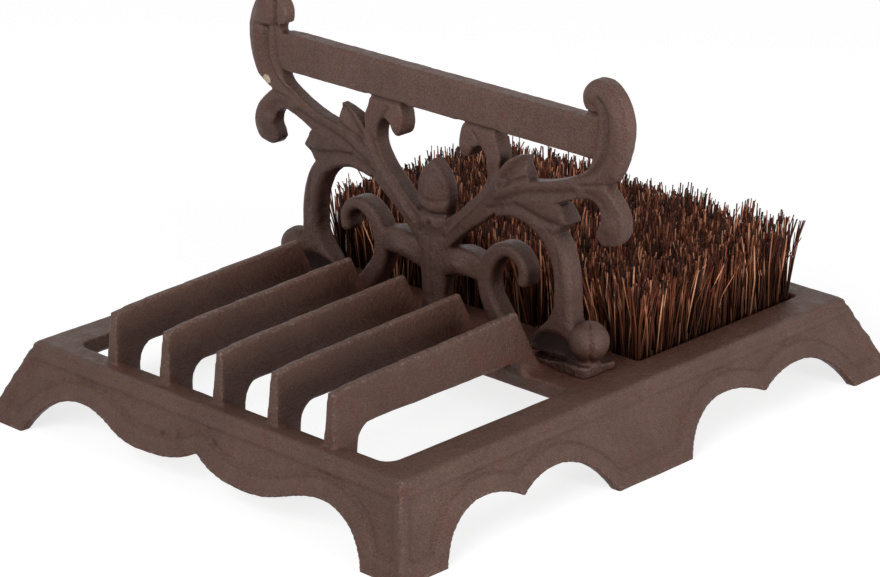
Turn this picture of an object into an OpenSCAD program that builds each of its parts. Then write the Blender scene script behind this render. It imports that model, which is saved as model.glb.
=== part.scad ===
// Cast iron boot scraper: a splayed rim with five scraping blades, a scroll upright and a brush.
// X runs left to right, Y front to back, Z up. The origin is on the ground, at the middle of the base.

/* [Rim] */
// Width of the rim, left to right
rim_w = 216; // [200:1:240]
// Depth of the rim, front to back
rim_d = 278; // [260:1:310]
// Height of the rim's top above the ground
rim_h = 35; // [32:1:45]
// Thickness of the rim plate
rim_t = 7; // [5:0.5:9]
// Width of the front rail
front_rail_w = 10; // [8:0.5:14]
// Width of each side rail
side_rail_w = 16.5; // [12:0.5:20]
// Width of the rear rail
rear_rail_w = 12.5; // [10:0.5:18]
// Depth of the cross rail that carries the upright
cross_rail_d = 45; // [42:1:56]
// How far the middle of the cross rail lies behind the upright
cross_rail_shift = 3.5; // [2:0.5:5]
// Radius of the front window's front corners
front_window_r = 6; // [2:0.5:8]
// Radius of the front window's rear corners
rear_corner_r = 2.5; // [1.5:0.5:6]
// Corner radius of the brush window
brush_window_r = 2; // [1.5:0.5:4]

/* [Aprons] */
// How far the aprons spread beyond the rim at the ground
apron_flare = 16; // [10:1:22]
// Thickness of an apron's wall, measured level
apron_t = 5.5; // [4:0.5:7]
// Length of a corner foot along the sides
corner_foot_d = 26; // [20:1:34]
// Length of a corner foot along the front and rear
corner_foot_w = 23; // [18:1:30]
// Length of a middle foot
mid_foot_d = 46; // [36:1:56]
// Height of the arches' crowns above the ground
arch_h = 18.8; // [15:0.2:21]
// Radius of the arches where they leave a foot
arch_r = 33; // [24:1:38]
// Height of the point between the two lobes of a side arch
side_cusp_h = 13; // [9:0.5:14]
// Height of the notch at the middle of the front and rear aprons
front_cusp_h = 17.5; // [14:0.5:20]
// Height of the lowest point of the front and rear aprons' pendants
pendant_h = 11; // [7:0.5:13]
// Distance from the middle to a pendant's lowest point
pendant_x = 34; // [24:1:40]

/* [Blades] */
// Spacing of the blades
blade_pitch = 32; // [28:1:34]
// Blade thickness at the rim
blade_root_t = 6.5; // [5:0.5:9]
// Blade thickness at the scraping edge
blade_edge_t = 3; // [2:0.2:4.4]
// Height of the scraping edges above the rim, at the rear
blade_h = 27; // [22:1:34]
// How far the scraping edges fall towards the front
blade_fall = 3.4; // [0:0.2:5]
// Height of the blades' underside above the rim
blade_lift = 6; // [4:0.5:10]
// Setback of the blades from the rim's front edge
blade_setback = 4.5; // [2:0.5:6]
// How far a blade's front end leans back
blade_front_lean = 1.5; // [0:0.5:4]
// How far a blade's rear end leans forward
blade_rear_lean = 13; // [4:0.5:16]
// Overhang of a blade's leg past the rail that it stands on
blade_leg = 8; // [6:0.5:12]
// Length of a blade's rear seat on the cross rail
blade_seat = 11.5; // [6:0.5:12]
// Length of the worn slope at the front end of the scraping edges
blade_nose_d = 11.5; // [4:0.5:16]
// Height of that slope
blade_nose_h = 1.4; // [0.4:0.2:4]

/* [Upright] */
// Width of the upright over its finials
upright_w = 218; // [200:2:236]
// Height of the upright above the rim
upright_h = 129; // [110:1:150]
// Thickness of the upright
upright_t = 7.5; // [7:0.5:9]
// Place of the upright, measured back from the middle of the base
upright_y = -6; // [-9:0.5:-3]
// How far the upright's ball feet and the base's middle feet lie behind the upright's middle
foot_shift = 1.5; // [0:0.5:3]
// Radius of a ball foot
ball_r = 8; // [7:0.5:9]
// Height of a ball foot above its plate
ball_lift = 2; // [1:0.5:4]
// Radius of the neck below a ball foot
foot_neck_r = 6; // [5:0.5:7]
// Thickness of a foot plate
foot_plate_t = 4.5; // [3:0.5:5]
// Radius of the foot plate's wide end below the ball
plate_wide_r = 7; // [6:0.5:9]
// Radius of the foot plate's narrow inner end
plate_narrow_r = 4.5; // [3.5:0.5:6]
// Distance between the foot plate's two ends
plate_run = 24.5; // [20:0.5:27]

/* [Fasteners] */
// Diameter of the bolts that hold the upright
bolt_d = 6; // [5:1:6]
// Width across the corners of a bolt's head
bolt_head_d = 11.5; // [9:0.5:13]
// Height of a bolt's head
bolt_head_h = 4; // [3:0.5:5]
// Depth of a bolt's thread inside a ball foot
bolt_depth = 8; // [6:0.5:9]
// Outer diameter of a washer
washer_d = 14; // [12:0.5:16]
// Thickness of a washer
washer_t = 1.2; // [1:0.1:2]
// Diameter of the brush screws
screw_d = 4; // [3:0.5:5]
// Diameter of a brush screw's head
screw_head_d = 8; // [7:0.5:10]
// Height of a brush screw's head
screw_head_h = 2.5; // [2:0.5:3]
// Depth of a brush screw in the block
screw_depth = 9; // [6:0.5:11]
// Clearance of a fastener in a drilled hole
hole_gap = 0.3; // [0.2:0.1:0.5]
// Clearance of a fastener in its tapped hole
thread_gap = 0.1; // [0.05:0.05:0.15]
// Free depth beyond a fastener's end
tip_gap = 1; // [0.5:0.5:2]

/* [Brush] */
// Gap between the brush block and its window
block_gap = 1; // [0.5:0.5:2]
// Thickness of the brush block
block_t = 15; // [12:0.5:17]
// How far the block's top lies below the rim's top
block_sink = 4; // [3:0.5:6]
// Thickness of the slice of backing that holds the bristles
backing_t = 2; // [1.5:0.5:2.5]
// Height of the bristles above the backing
bristle_h = 36; // [25:1:50]
// How much the bristle lengths differ
bristle_ragged = 5; // [0:0.5:8]
// Bristles in a row, left to right
bristle_columns = 24; // [20:1:26]
// Bristle rows, front to back
bristle_rows = 14; // [12:1:16]
// Bristle radius at the backing
bristle_root_r = 1.6; // [1:0.1:1.8]
// Bristle radius at the tip
bristle_tip_r = 0.8; // [0.4:0.1:1]
// Most that a bristle's root strays from its row
bristle_drift = 0.8; // [0:0.1:0.9]
// Most that a bristle's tip leans to a side
bristle_lean = 1.6; // [0:0.1:1.8]
// Width of a brush strap
strap_w = 16; // [12:1:24]
// Thickness of a brush strap
strap_t = 5; // [4:0.5:6]
// Spacing of the two brush straps
strap_spacing = 54; // [40:1:64]
// Spacing of the two screws in a strap
strap_screw_spacing = 120; // [80:1:150]

/* [Hidden] */
$fn = 48;
iron = "#4b3a35";
fibre = "#6b3a22";
timber = "#8a6a48";
steel = "#9a9a98";
// How far a drill starts outside the face that it enters
overrun = 1;

// Rim, in plan
rim_x = rim_w / 2;
rim_y = rim_d / 2;
rim_bottom = rim_h - rim_t;
window_x = rim_x - side_rail_w;
front_window_y = -rim_y + front_rail_w;
cross_front_y = upright_y + cross_rail_shift - cross_rail_d / 2;
cross_rear_y = cross_front_y + cross_rail_d;
brush_window_y = rim_y - rear_rail_w;

// Aprons
foot_x = rim_x + apron_flare;
foot_y = rim_y + apron_flare;
below = -10;
arc_steps = 8;
// Run of an arch from its foot on the ground to its crown
arch_run = sqrt(2 * arch_r * arch_h - arch_h * arch_h);
arch_start = acos(arch_run / arch_r);
notch_power = 3;

// Blades
blade_front_y = -rim_y + blade_setback;
blade_rear_y = cross_front_y + blade_seat;
blade_top = rim_h + blade_h;
blade_front_top = blade_top - blade_fall;
blade_under = rim_h + blade_lift;
leg_front_y = front_window_y + blade_leg;
blade_count = 5;

// Upright: its outlines are drawn on a grid that starts at its middle, on the rim's top
grid_w = 109;
grid_h = 129;
bar_end = 86;
bar_low = 95;
bar_high = 112;
foot_grid_x = 85.5;
curve_steps = 5;
cap_trim = 10;
upright_foot_x = foot_grid_x * upright_w / 2 / grid_w;
ball_z = rim_h + foot_plate_t + ball_lift + ball_r;
plate_inner_x = upright_foot_x - plate_run;
foot_line_y = upright_y + foot_shift;
bolt_top = rim_h + foot_plate_t + bolt_depth;

// Brush
block_x = window_x - block_gap;
block_front_y = cross_rear_y + block_gap;
block_rear_y = brush_window_y - block_gap;
block_top = rim_h - block_sink;
block_bottom = block_top - block_t;
strap_bottom = block_bottom - strap_t;
strap_mid_y = (block_front_y + block_rear_y) / 2;
strap_places = [strap_mid_y - strap_spacing / 2, strap_mid_y + strap_spacing / 2];
root_seed = 11;
lean_seed = 23;
length_seed = 37;

// Points of an arc, from angle a to angle b
function arc(centre, r, a, b) =
    [for (i = [0 : arc_steps])
        let (t = a + (b - a) * i / arc_steps)
        centre + r * [cos(t), sin(t)]];

// A smooth curve through the points, which may carry a width as their third number
function spline_at(a, b, c, d, t) =
    0.5 * (2 * b + (c - a) * t + (2 * a - 5 * b + 4 * c - d) * t * t
        + (3 * b - a - 3 * c + d) * t * t * t);
function curve(p) =
    let (last = len(p) - 1)
    concat(
        [for (i = [0 : last - 1], j = [0 : curve_steps - 1])
            spline_at(p[max(i - 1, 0)], p[i], p[i + 1], p[min(i + 2, last)], j / curve_steps)],
        [p[last]]);

// Both sides of a band along points of x, height and half width
function band_normal(p, i) =
    let (d = p[min(i + 1, len(p) - 1)] - p[max(i - 1, 0)])
    [-d[1], d[0]] / norm([d[0], d[1]]);
function band(p) =
    let (last = len(p) - 1)
    concat(
        [for (i = [0 : last]) [p[i][0], p[i][1]] + p[i][2] * band_normal(p, i)],
        arc([p[last][0], p[last][1]], p[last][2], band_angle(p) - cap_trim, band_angle(p) - 180 + cap_trim),
        [for (i = [last : -1 : 0]) [p[i][0], p[i][1]] - p[i][2] * band_normal(p, i)]);
function band_angle(p) =
    let (n = band_normal(p, len(p) - 1))
    atan2(n[1], n[0]);

// From the upright's grid to real sizes
function placed(p) =
    [for (q = p) [q[0] * upright_w / 2 / grid_w, rim_h + q[1] * upright_h / grid_h]];

module rounded_window(x, front, rear, front_r, rear_r) {
    translate([-x, front + front_r]) square([2 * x, rear - front - front_r - rear_r]);
    translate([-x + front_r, front]) square([2 * x - 2 * front_r, 2 * front_r]);
    translate([-x + rear_r, rear - 2 * rear_r]) square([2 * x - 2 * rear_r, 2 * rear_r]);
    for (s = [-1, 1]) {
        translate([s * (x - front_r), front + front_r]) circle(front_r);
        translate([s * (x - rear_r), rear - rear_r]) circle(rear_r);
    }
}

// Rim frame with its two windows and the holes for the upright's bolts
module rim_frame() {
    color(iron)
    translate([0, 0, rim_bottom])
    linear_extrude(rim_t)
    difference() {
        translate([-rim_x, -rim_y]) square([rim_w, rim_d]);
        rounded_window(window_x, front_window_y, cross_front_y, front_window_r, rear_corner_r);
        rounded_window(window_x, cross_rear_y, brush_window_y, brush_window_r, brush_window_r);
        for (s = [-1, 1])
            translate([s * upright_foot_x, foot_line_y]) circle(bolt_d / 2 + hole_gap);
    }
}

// Opening below a side apron between two feet: two lobes that meet in a point
function side_arch(a, b) =
    let (mid = (a + b) / 2, run = mid - a - arch_run, drop = arch_h - side_cusp_h,
        flat_r = (run * run + drop * drop) / (2 * drop), sweep = asin(run / flat_r),
        lobe = concat(
            arc([a + arch_run, arch_h - arch_r], arch_r, 180 - arch_start, 90),
            arc([a + arch_run, arch_h - flat_r], flat_r, 90 - sweep / arc_steps, 90 - sweep)))
    concat([[a, below]], lobe, [for (i = [len(lobe) - 2 : -1 : 0]) [2 * mid - lobe[i][0], lobe[i][1]]],
        [[b, below]]);

// Opening below the front or rear apron: two pendants that meet in a notch
function front_arch(edge) =
    let (crown = edge - arch_run, fall = crown - pendant_x, swing = (arch_h - pendant_h) / 2,
        half = concat(
            [[edge, below]],
            arc([crown, arch_h - arch_r], arch_r, arch_start, 90),
            [for (i = [1 : arc_steps])
                [crown - fall * i / arc_steps, arch_h - swing + swing * cos(180 * i / arc_steps)]],
            [for (i = [1 : arc_steps])
                [pendant_x - pendant_x * i / arc_steps,
                    pendant_h + (front_cusp_h - pendant_h) * pow(i / arc_steps, notch_power)]]))
    concat(half, [for (i = [len(half) - 2 : -1 : 0]) [-half[i][0], half[i][1]]]);

// One splayed wall along X at the front, mitred at both ends; its children cut the lower edge
module apron(run, off) {
    slope = apron_flare / rim_h;
    intersection() {
        difference() {
            rotate([90, 0, 90])
                translate([0, 0, -run - apron_flare])
                linear_extrude(2 * (run + apron_flare))
                polygon([
                    [-off, rim_h],
                    [-off - apron_flare, 0],
                    [-off - apron_flare + apron_t, 0],
                    [-off + apron_t - rim_t * slope, rim_bottom],
                    [-off, rim_bottom]
                ]);
            rotate([90, 0, 0])
                linear_extrude(off + 2 * apron_flare)
                children();
        }
        translate([0, 0, below])
            linear_extrude(rim_h - 2 * below)
            polygon([
                [0, run - off],
                [-run - 2 * apron_flare, -off - 2 * apron_flare],
                [run + 2 * apron_flare, -off - 2 * apron_flare]
            ]);
    }
}

module front_apron() {
    color(iron)
    apron(rim_x, rim_y)
        polygon(front_arch(foot_x - corner_foot_w));
}

module rear_apron() {
    rotate([0, 0, 180]) front_apron();
}

module right_apron() {
    color(iron)
    rotate([0, 0, 90])
    apron(rim_y, rim_x) {
        polygon(side_arch(-foot_y + corner_foot_d, foot_line_y - mid_foot_d / 2));
        polygon(side_arch(foot_line_y + mid_foot_d / 2, foot_y - corner_foot_d));
    }
}

module left_apron() {
    mirror([1, 0, 0]) right_apron();
}

// Side view of a blade, in Y and Z: a bridge from a leg on the front rail to a seat on the cross rail
function blade_side() = concat(
    [[blade_front_y, rim_h],
        [blade_front_y + blade_front_lean, blade_front_top - blade_nose_h],
        [blade_front_y + blade_front_lean + blade_nose_d, blade_front_top],
        [blade_rear_y - blade_rear_lean, blade_top],
        [blade_rear_y, rim_h]],
    arc([cross_front_y - blade_lift, rim_h], blade_lift, 0, 90),
    arc([leg_front_y + blade_leg, blade_under - blade_leg], blade_leg, 90, 180),
    [[leg_front_y, rim_bottom],
        [front_window_y, rim_bottom],
        [front_window_y, rim_h]]);

module scraper_blade(i) {
    x = (i - (blade_count + 1) / 2) * blade_pitch;
    color(iron)
    translate([x, 0, 0])
    intersection() {
        rotate([90, 0, 90])
            translate([0, 0, -blade_root_t])
            linear_extrude(2 * blade_root_t)
            polygon(blade_side());
        rotate([90, 0, 0])
            translate([0, 0, -rim_y])
            linear_extrude(rim_d)
            polygon([
                [-blade_root_t / 2, 0],
                [blade_root_t / 2, 0],
                [blade_root_t / 2, rim_h],
                [blade_edge_t / 2, blade_top],
                [-blade_edge_t / 2, blade_top],
                [-blade_root_t / 2, rim_h]
            ]);
    }
}

// Outlines of the upright's right half, on its grid
finial_edge = [[86, 112], [86.8, 115], [85.6, 118.5], [85.8, 122.5], [88, 126], [92, 128.6], [96, 129],
    [100.5, 127.3], [104.5, 123.5], [107.5, 118], [109, 111.5], [108.2, 103], [105.6, 95], [101.5, 88.5],
    [97, 84.5]];
hook_outer = [[97, 84.5], [101.8, 80.5], [105.4, 76.2], [107.2, 70.5], [106.5, 65.8], [103.5, 62.8],
    [98, 61.2], [92.7, 62.8]];
hook_inner = [[92.7, 62.8], [94.6, 66.5], [95, 70.5], [93.5, 74.5], [89.5, 77], [84, 76.5], [77, 74],
    [71, 71]];
stem_lower = [[71, 71], [64, 71], [55, 69], [46, 65.5], [39, 61.5], [34.5, 57.5], [28, 52.3], [20, 46.5],
    [12, 39], [6, 31], [3, 25]];
stem_inner = [[3, 36], [10, 44], [20, 54], [30, 63.5], [35, 70]];
leaf_inner = [[35, 70], [38.5, 78], [43, 83.5], [48, 86.5], [53.5, 88]];
leaf_outer = [[53.5, 88], [54.3, 83], [55.5, 77.5]];
stem_outer = [[55.5, 77.5], [65, 79.5], [75, 83], [83, 87], [88, 90.5], [90, 95]];
inner_hook = [[18.5, 95], [17, 91], [16.3, 86.5], [17, 82.5], [19.5, 80], [22, 81], [24, 84.5]];
inner_lower = [[24, 84.5], [27, 86], [30, 84.5], [32, 79], [31.5, 73], [27, 66], [20, 59.5], [13, 53],
    [5, 48]];
inner_outer = [[5, 42], [16, 48], [28, 60], [35, 70], [38.5, 78], [39.5, 85], [37.5, 90], [36, 95]];
leg_line = [[36, 60.5, 2.5], [46, 62.7, 3], [55, 61.6, 3.1], [63, 58.3, 3.6], [69, 52.5, 3.9],
    [72.6, 44, 3.8], [74, 35, 3.9], [74.2, 26, 4], [75.8, 18, 4.2], [80, 12.5, 4.3], [85, 11.5, 4]];
low_leaf_upper = [[56, 72], [71, 71], [74, 68], [76.6, 64]];
low_leaf_lower = [[76.6, 64], [73.5, 61.8], [70.5, 58.5], [68, 54]];
low_leaf_root = [[50, 62], [40, 61]];
leg_flare = [[70.5, 31], [69.4, 24.5], [66, 18.5], [61.5, 14], [57.5, 9.5], [55.5, 4]];
leg_flare_root = [[84, 4], [76, 31]];
volute_line = [[46, 0, 4.6], [41.5, 7, 4], [36.5, 13.5, 3.5], [32.3, 20, 3.2], [30.5, 27, 3.1],
    [32, 35, 3], [36.5, 41.2, 2.7], [43, 44, 2.2], [49.2, 42, 2], [52.4, 37.2, 2], [52, 32.4, 2]];
lobe_line = [[3, 27, 4], [11, 31, 4.8], [19, 32.8, 5], [28, 31.5, 4.4]];
bud_edge = [[0, 74.5], [4.5, 70.5], [8.5, 64.5], [9.5, 58], [8.2, 51.5], [6.5, 47.5]];
calyx_edge = [[6.5, 47.5], [8.5, 45], [7, 41.5]];
bud_stem_edge = [[7, 41.5], [8.2, 34], [7.6, 24], [6.6, 12], [8.5, 0]];

module bar_shape() {
    polygon(placed([[-bar_end, bar_low], [bar_end, bar_low], [bar_end, bar_high], [-bar_end, bar_high]]));
}

module bud_shape() {
    half = concat(curve(bud_edge), curve(calyx_edge), curve(bud_stem_edge));
    polygon(placed(concat(half, [for (i = [len(half) - 1 : -1 : 1]) [-half[i][0], half[i][1]]])));
}

module outer_scroll_shape() {
    polygon(placed(concat(curve(finial_edge), curve(hook_outer), curve(hook_inner), curve(stem_lower),
        curve(stem_inner), curve(leaf_inner), curve(leaf_outer), curve(stem_outer), [[bar_end, bar_low]])));
}

module inner_scroll_shape() {
    polygon(placed(concat(curve(inner_hook), curve(inner_lower), curve(inner_outer))));
}

module leg_shape() {
    polygon(placed(band(curve(leg_line))));
    polygon(placed(concat(curve(low_leaf_upper), curve(low_leaf_lower), low_leaf_root)));
    polygon(placed(concat(curve(leg_flare), leg_flare_root)));
}

module volute_shape() {
    polygon(placed(band(curve(volute_line))));
    polygon(placed(band(curve(lobe_line))));
}

// A flat outline stood up at the upright's place
module upright() {
    color(iron)
    translate([0, upright_y + upright_t / 2, 0])
    rotate([90, 0, 0])
    linear_extrude(upright_t)
    children();
}

module top_bar() {
    upright() bar_shape();
}

module centre_bud() {
    upright() bud_shape();
}

module right_outer_scroll() {
    upright()
    difference() {
        outer_scroll_shape();
        bud_shape();
        bar_shape();
    }
}

module right_inner_scroll() {
    upright()
    difference() {
        inner_scroll_shape();
        outer_scroll_shape();
        bud_shape();
    }
}

module right_volute() {
    upright()
    difference() {
        volute_shape();
        outer_scroll_shape();
        bud_shape();
        translate([0, below]) square([upright_w, rim_h - below]);
    }
}

// Leg with its ball foot on a tapered foot plate, drilled from below
module right_leg() {
    color(iron)
    difference() {
        union() {
            upright()
            difference() {
                leg_shape();
                outer_scroll_shape();
            }
            translate([upright_foot_x, foot_line_y, ball_z]) sphere(ball_r);
            translate([upright_foot_x, foot_line_y, rim_h]) cylinder(h = ball_z - rim_h, r = foot_neck_r);
            translate([0, foot_line_y, rim_h])
            linear_extrude(foot_plate_t) {
                translate([upright_foot_x, 0]) circle(plate_wide_r);
                translate([plate_inner_x, 0]) circle(plate_narrow_r);
                polygon([
                    [plate_inner_x, -plate_narrow_r],
                    [upright_foot_x, -plate_wide_r],
                    [upright_foot_x, plate_wide_r],
                    [plate_inner_x, plate_narrow_r]
                ]);
            }
        }
        translate([upright_foot_x, foot_line_y, rim_h - overrun])
            cylinder(h = bolt_top + tip_gap - rim_h + overrun, r = bolt_d / 2 + thread_gap);
    }
}

module left_outer_scroll() {
    mirror([1, 0, 0]) right_outer_scroll();
}

module left_inner_scroll() {
    mirror([1, 0, 0]) right_inner_scroll();
}

module left_volute() {
    mirror([1, 0, 0]) right_volute();
}

module left_leg() {
    mirror([1, 0, 0]) right_leg();
}

// Bolts from below, through the cross rail into the ball feet
module upright_bolts() {
    head_z = rim_bottom - washer_t;
    color(steel)
    for (s = [-1, 1])
        translate([s * upright_foot_x, foot_line_y, head_z]) {
            translate([0, 0, -bolt_head_h]) cylinder(h = bolt_head_h, d = bolt_head_d, $fn = 6);
            translate([0, 0, -bolt_head_h / 2])
                cylinder(h = bolt_top - head_z + bolt_head_h / 2, d = bolt_d);
        }
}

module upright_washers() {
    color(steel)
    for (s = [-1, 1])
        translate([s * upright_foot_x, foot_line_y, rim_bottom - washer_t])
        linear_extrude(washer_t)
        difference() {
            circle(d = washer_d);
            circle(d = bolt_d + 2 * hole_gap);
        }
}

// A strap below the brush window, hung from both side rails
module brush_strap(y) {
    post_in = window_x + block_gap / 2;
    post_out = post_in + strap_t;
    color(iron)
    difference() {
        translate([0, y + strap_w / 2, 0])
            rotate([90, 0, 0])
            linear_extrude(strap_w)
            polygon([
                [-post_out, rim_bottom],
                [-post_out, strap_bottom],
                [post_out, strap_bottom],
                [post_out, rim_bottom],
                [post_in, rim_bottom],
                [post_in, block_bottom],
                [-post_in, block_bottom],
                [-post_in, rim_bottom]
            ]);
        for (s = [-1, 1])
            translate([s * strap_screw_spacing / 2, y, strap_bottom - overrun])
                cylinder(h = strap_t + 2 * overrun, r = screw_d / 2 + hole_gap);
    }
}

module front_brush_strap() {
    brush_strap(strap_places[0]);
}

module rear_brush_strap() {
    brush_strap(strap_places[1]);
}

module at_brush_screws() {
    for (y = strap_places, s = [-1, 1])
        translate([s * strap_screw_spacing / 2, y, 0]) children();
}

module brush_block() {
    color(timber)
    difference() {
        translate([-block_x, block_front_y, block_bottom])
            cube([2 * block_x, block_rear_y - block_front_y, block_t]);
        at_brush_screws()
            translate([0, 0, block_bottom - overrun])
            cylinder(h = overrun + screw_depth + tip_gap, r = screw_d / 2 + thread_gap);
    }
}

module brush_screws() {
    color(steel)
    at_brush_screws() {
        translate([0, 0, strap_bottom - screw_head_h]) cylinder(h = screw_head_h, d = screw_head_d);
        translate([0, 0, strap_bottom - screw_head_h / 2])
            cylinder(h = screw_head_h / 2 + strap_t + screw_depth, d = screw_d);
    }
}

// Bristles: one closed skin of a backing slice and its rows of three-sided, leaning strands
module bristles() {
    nx = bristle_columns;
    ny = bristle_rows;
    count = nx * ny;
    cell_x = 2 * block_x / nx;
    cell_y = (block_rear_y - block_front_y) / ny;
    top = block_top + backing_t;
    drift = rands(-bristle_drift, bristle_drift, 2 * count, root_seed);
    lean = rands(-bristle_lean, bristle_lean, 2 * count, lean_seed);
    length = rands(-bristle_ragged, 0, count, length_seed);
    corner = function(i, j) [-block_x + i * cell_x, block_front_y + j * cell_y, top];
    root = function(k) corner(k % nx + 0.5, floor(k / nx) + 0.5) + [drift[2 * k], drift[2 * k + 1], 0];
    tip = function(k) root(k) + [lean[2 * k], lean[2 * k + 1], bristle_h + length[k]];
    ring = function(centre, r) [for (a = [90, 210, 330]) centre + r * [cos(a), sin(a), 0]];
    corners = [for (j = [0 : ny], i = [0 : nx]) corner(i, j)];
    strands = [for (k = [0 : count - 1])
        each concat(ring(root(k), bristle_root_r), ring(tip(k), bristle_tip_r))];
    low = [for (p = [[0, 0], [nx, 0], [nx, ny], [0, ny]]) corner(p[0], p[1]) - [0, 0, backing_t]];
    at = function(i, j) i + j * (nx + 1);
    first = len(corners);
    base = first + len(strands);
    cell_faces = function(k)
        let (i = k % nx, j = floor(k / nx), c0 = at(i, j), c1 = at(i + 1, j), c2 = at(i + 1, j + 1),
            c3 = at(i, j + 1), a = first + 6 * k, b = a + 1, c = a + 2)
        [[c0, c1, c], [c0, c, b], [c1, c2, a], [c1, a, c], [c2, c3, a], [c3, c0, b], [c3, b, a],
            [a, b, b + 3], [a, b + 3, a + 3], [b, c, c + 3], [b, c + 3, b + 3],
            [c, a, a + 3], [c, a + 3, c + 3], [a + 3, b + 3, c + 3]];
    wall = function(start, end, edge)
        concat([for (i = [0 : len(edge) - 2]) [start, edge[i + 1], edge[i]]],
            [[start, end, edge[len(edge) - 1]]]);
    faces = concat(
        [for (k = [0 : count - 1]) each cell_faces(k)],
        wall(base, base + 1, [for (i = [0 : nx]) at(i, 0)]),
        wall(base + 1, base + 2, [for (j = [0 : ny]) at(nx, j)]),
        wall(base + 2, base + 3, [for (i = [nx : -1 : 0]) at(i, ny)]),
        wall(base + 3, base, [for (j = [ny : -1 : 0]) at(0, j)]),
        [[base, base + 2, base + 1], [base, base + 3, base + 2]]);
    color(fibre)
    polyhedron(concat(corners, strands, low), [for (f = faces) [f[2], f[1], f[0]]]);
}

rim_frame();
front_apron();
rear_apron();
left_apron();
right_apron();
scraper_blade(1);  // scraper_blade_1
scraper_blade(2);  // scraper_blade_2
scraper_blade(3);  // scraper_blade_3
scraper_blade(4);  // scraper_blade_4
scraper_blade(5);  // scraper_blade_5
top_bar();
left_outer_scroll();
right_outer_scroll();
left_inner_scroll();
right_inner_scroll();
left_leg();
right_leg();
left_volute();
right_volute();
centre_bud();
upright_bolts();
upright_washers();
front_brush_strap();
rear_brush_strap();
brush_block();
bristles();
brush_screws();
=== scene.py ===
import math

import bpy
import numpy as np
from mathutils import Matrix, Vector


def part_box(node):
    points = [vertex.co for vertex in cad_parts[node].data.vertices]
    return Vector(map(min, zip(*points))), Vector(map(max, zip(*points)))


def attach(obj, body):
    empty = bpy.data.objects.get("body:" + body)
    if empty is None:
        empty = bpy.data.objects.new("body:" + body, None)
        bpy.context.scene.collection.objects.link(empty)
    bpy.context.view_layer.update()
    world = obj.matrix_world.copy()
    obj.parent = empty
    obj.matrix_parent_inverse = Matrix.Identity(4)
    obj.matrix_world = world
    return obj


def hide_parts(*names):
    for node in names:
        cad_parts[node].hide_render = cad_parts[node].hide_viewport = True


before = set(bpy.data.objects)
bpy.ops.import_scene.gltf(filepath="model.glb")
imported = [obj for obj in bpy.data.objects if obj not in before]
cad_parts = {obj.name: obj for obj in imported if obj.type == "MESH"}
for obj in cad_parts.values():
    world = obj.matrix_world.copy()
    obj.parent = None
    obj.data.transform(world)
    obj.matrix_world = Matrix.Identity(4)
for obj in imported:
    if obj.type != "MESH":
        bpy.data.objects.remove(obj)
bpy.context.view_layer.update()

# The castings are worked out as fields of signed distance, in millimetres, and meshed at these steps
MM = 0.001
BASE_STEP = 0.8
UPRIGHT_STEP = 0.55
FACE_LIMIT = 190000
FLAT = 0.01
NEAR = 0.05
TINY = 1e-9
FAR = 1e9
MARGIN = 2.0
LEAST_WEIGHT = 1e-4
BEND_REACH = 2

# Camera: where it stands, the way that it looks back from the object, and its lens
CAMERA_PLACE = (0.9562, -1.0071, 0.5669)
CAMERA_BACK = (0.64640, -0.67821, 0.34956)
CAMERA_LENS = 141.35
SENSOR_WIDTH = 36.0


# Reading the frame

def box_mm(node):
    """Lowest and highest corner of a CAD node, in mm."""
    low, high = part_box(node)
    return np.array(low) / MM, np.array(high) / MM


def node_points(node):
    """Corners of a CAD node's mesh, in mm."""
    return np.array([v.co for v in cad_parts[node].data.vertices]) / MM


def face_edges(node, normal, keep, through=None, spread=0.999):
    """Boundary, in mm, of the node's faces that look along a normal, drawn on the two axes in keep."""
    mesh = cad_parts[node].data
    mesh.calc_loop_triangles()
    corners = node_points(node)[np.array([t.vertices[:] for t in mesh.loop_triangles])]
    across = np.cross(corners[:, 1] - corners[:, 0], corners[:, 2] - corners[:, 0])
    across /= np.maximum(np.linalg.norm(across, axis=1), TINY)[:, None]
    chosen = across @ np.array(normal) > spread
    if through is not None:
        chosen &= np.all(np.abs((corners - np.array(through)) @ np.array(normal)) < FLAT, axis=1)
    flat = np.round(corners[chosen][:, :, keep], 3)
    pairs = np.concatenate([flat[:, [0, 1]], flat[:, [1, 2]], flat[:, [2, 0]]])
    start = pairs[:, 0]
    end = pairs[:, 1]
    tied = (start[:, 0] == end[:, 0]) & (start[:, 1] > end[:, 1])
    turned = (start[:, 0] > end[:, 0]) | tied
    pairs[turned] = pairs[turned][:, ::-1]
    lines, counts = np.unique(pairs.reshape(-1, 4), axis=0, return_counts=True)
    return lines[counts == 1].reshape(-1, 2, 2)


def finer(edges, longest):
    """The same edges, cut into lengths no longer than a limit."""
    pieces = []
    for a, b in edges:
        count = max(1, int(math.ceil(np.linalg.norm(b - a) / longest)))
        steps = np.linspace(0, 1, count + 1)[:, None]
        line = a + (b - a) * steps
        pieces.append(np.stack([line[:-1], line[1:]], axis=1))
    return np.concatenate(pieces)


# Distance fields

def edge_distance(u, v, edges):
    """Distance from the points (u, v) to the nearest of the edges."""
    best = np.full(np.broadcast(u, v).shape, FAR, np.float32)
    for a, b in edges.astype(np.float32):
        run = b - a
        t = np.clip(((u - a[0]) * run[0] + (v - a[1]) * run[1]) / max(run @ run, TINY), 0, 1)
        best = np.minimum(best, (u - a[0] - t * run[0]) ** 2 + (v - a[1] - t * run[1]) ** 2)
    return np.sqrt(best)


def odd_above(u, v, edges):
    """True where a ray from (u, v) along +v meets the edges an odd number of times."""
    odd = np.zeros(np.broadcast(u, v).shape, bool)
    for a, b in edges:
        if a[0] != b[0]:
            odd ^= ((a[0] > u) != (b[0] > u)) & (v < a[1] + (u - a[0]) * (b[1] - a[1]) / (b[0] - a[0]))
    return odd


def outline_field(u, v, edges):
    """Signed distance to a closed outline, negative inside."""
    far = edge_distance(u, v, edges)
    return np.where(odd_above(u, v, edges), -far, far)


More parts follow.
